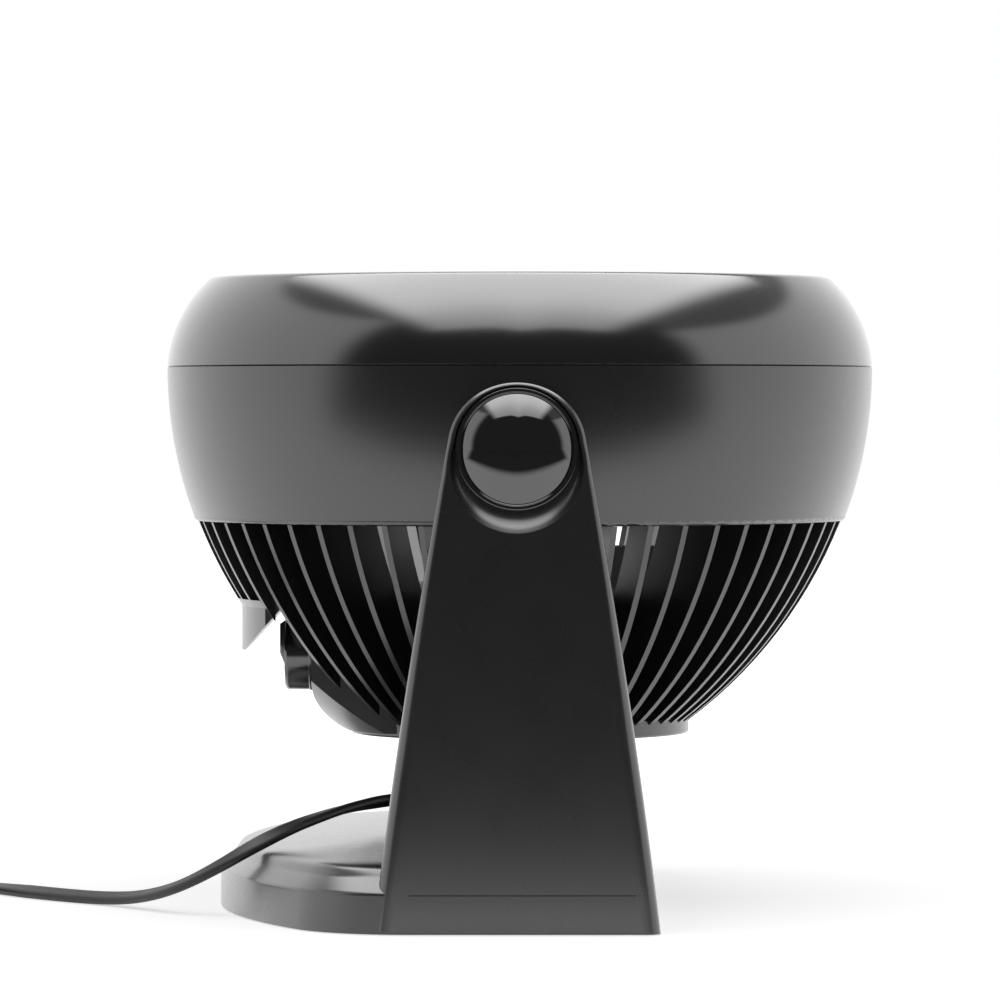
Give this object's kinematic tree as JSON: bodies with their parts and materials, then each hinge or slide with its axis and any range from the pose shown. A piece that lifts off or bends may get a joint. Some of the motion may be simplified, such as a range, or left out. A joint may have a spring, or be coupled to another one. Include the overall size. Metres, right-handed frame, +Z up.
{
  "type": "air circulator fan",
  "caption": "Table air circulator fan: drum head with curved grille and radial rear cage, tilting between two tapered arms on a low base, side speed knob, power cord.",
  "frame": {"origin": "on the table under the axis of the head when it blows straight up, which is also under the tilt hinge", "axes": "+Z up; +Y along the tilt hinge, from the near arm to the far arm; -X towards the speed knob and the base's round toe"},
  "size_m": [0.4403, 0.277, 0.2124],
  "materials": {
    "stand_plastic": "satin moulded ABS, black",
    "satin_black": "satin moulded ABS, black",
    "cage_black": "satin moulded polypropylene, black",
    "gloss_black": "high-gloss ABS, black",
    "foot_rubber": "soft rubber, dark grey",
    "cord_vinyl": "soft vinyl, black",
    "prong_brass": "nickelled brass",
    "fibre": "vulcanised fibre",
    "zinc_steel": "zinc plated",
    "ground_steel": "ground steel",
    "bracket_alloy": "die cast",
    "bearing_bronze": "sintered bronze",
    "lamination": "stacked laminations",
    "copper_wire": "enamelled copper",
    "capacitor_case": "moulded case",
    "switch_case": "phenolic",
    "wire_white": "insulated lead",
    "impeller_grey": "satin polypropylene, black"
  },
  "bodies": {
    "stand": {"stand_frame": "stand_plastic", "arm_cover_near": "stand_plastic", "arm_cover_far": "stand_plastic", "arm_screws": "zinc_steel", "pivot_cap_near": "gloss_black", "pivot_cap_far": "gloss_black", "base_cover": "stand_plastic", "base_screws": "zinc_steel", "rubber_feet": "foot_rubber", "cord_slack": "cord_vinyl", "cord_lead": "cord_vinyl", "cord_coil": "cord_vinyl", "cord_tail": "cord_vinyl", "plug_body": "cord_vinyl", "plug_prongs": "prong_brass"},
    "head": {"front_ring": "gloss_black", "front_grille": "gloss_black", "air_duct": "satin_black", "duct_screws": "zinc_steel", "drum": "satin_black", "ring_screws": "zinc_steel", "rear_cage": "cage_black", "rear_cover": "satin_black", "rear_cover_screws": "zinc_steel", "strain_relief": "cord_vinyl", "trunnions": "gloss_black", "friction_washers": "fibre", "pivot_washers": "zinc_steel", "pivot_screws": "zinc_steel", "motor_front_bracket": "bracket_alloy", "motor_rear_bracket": "bracket_alloy", "motor_bearings": "bearing_bronze", "motor_stator": "lamination", "motor_windings": "copper_wire", "motor_screws": "zinc_steel", "capacitor": "capacitor_case", "rotary_switch": "switch_case", "switch_nut": "zinc_steel", "inner_wires": "wire_white"},
    "impeller": {"impeller": "impeller_grey", "motor_shaft": "ground_steel", "rotor": "lamination"},
    "knob": {"speed_knob": "gloss_black", "switch_spindle": "ground_steel"}
  },
  "joints": [
    {"name": "head_tilt", "type": "hinge", "parent": "stand", "child": "head", "pos_m": [0, 0, 0.155], "axis": [0, 1, 0], "range_deg": [0, 90], "deforming": ["cord_slack"]},
    {"name": "impeller_spin", "type": "hinge", "parent": "head", "child": "impeller", "pos_m": [0, 0, 0.155], "axis": [0, 0, 1], "continuous": true},
    {"name": "speed_knob_turn", "type": "hinge", "parent": "head", "child": "knob", "pos_m": [-0.0755, 0, 0.0845], "axis": [-1, 0, 0], "range_deg": [0, 135]}
  ]
}
